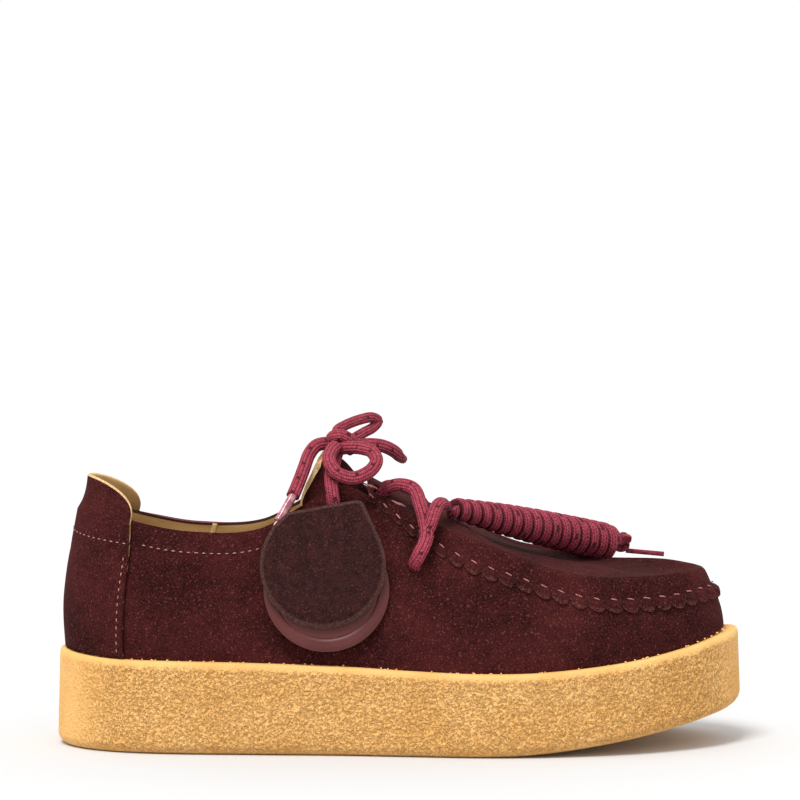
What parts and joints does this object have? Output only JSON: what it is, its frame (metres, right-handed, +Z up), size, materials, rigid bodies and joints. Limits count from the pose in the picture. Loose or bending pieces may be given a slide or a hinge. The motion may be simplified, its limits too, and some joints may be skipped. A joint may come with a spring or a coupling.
{
  "type": "casual shoe",
  "caption": "Right moccasin lace-up shoe in dark red suede on a thick crepe sole, with a tied lace, a round leather fob and a wound spare lace",
  "frame": {"origin": "centre of the sole's outline in plan, on the floor", "axes": "+X towards the toe, +Y towards the inner side of the foot, +Z up"},
  "size_m": [0.29, 0.1144, 0.1379],
  "materials": {
    "crepe_rubber": "matt, crinkled",
    "tan_lining": "matt",
    "suede": "napped",
    "smooth_leather": "satin",
    "lace": "ribbed weave",
    "aglet": "clear pink"
  },
  "bodies": {
    "root": {"sole": "crepe_rubber", "insole": "tan_lining", "upper": "suede", "tongue": "suede", "moc_seam": "suede", "heel_tab": "suede", "lace_lower_bar": "lace", "lace_strand_outer": "lace", "lace_strand_inner": "lace", "lace_knot": "lace", "bow_loop_upper": "lace", "bow_loop_front": "lace", "bow_end_left": "lace", "bow_end_right": "lace", "aglet_left": "aglet", "aglet_right": "aglet", "spare_coil": "lace", "spare_loop": "lace", "spare_knot": "lace", "spare_tail": "lace", "fob_leather": "smooth_leather", "fob_suede": "suede"}
  },
  "joints": []
}
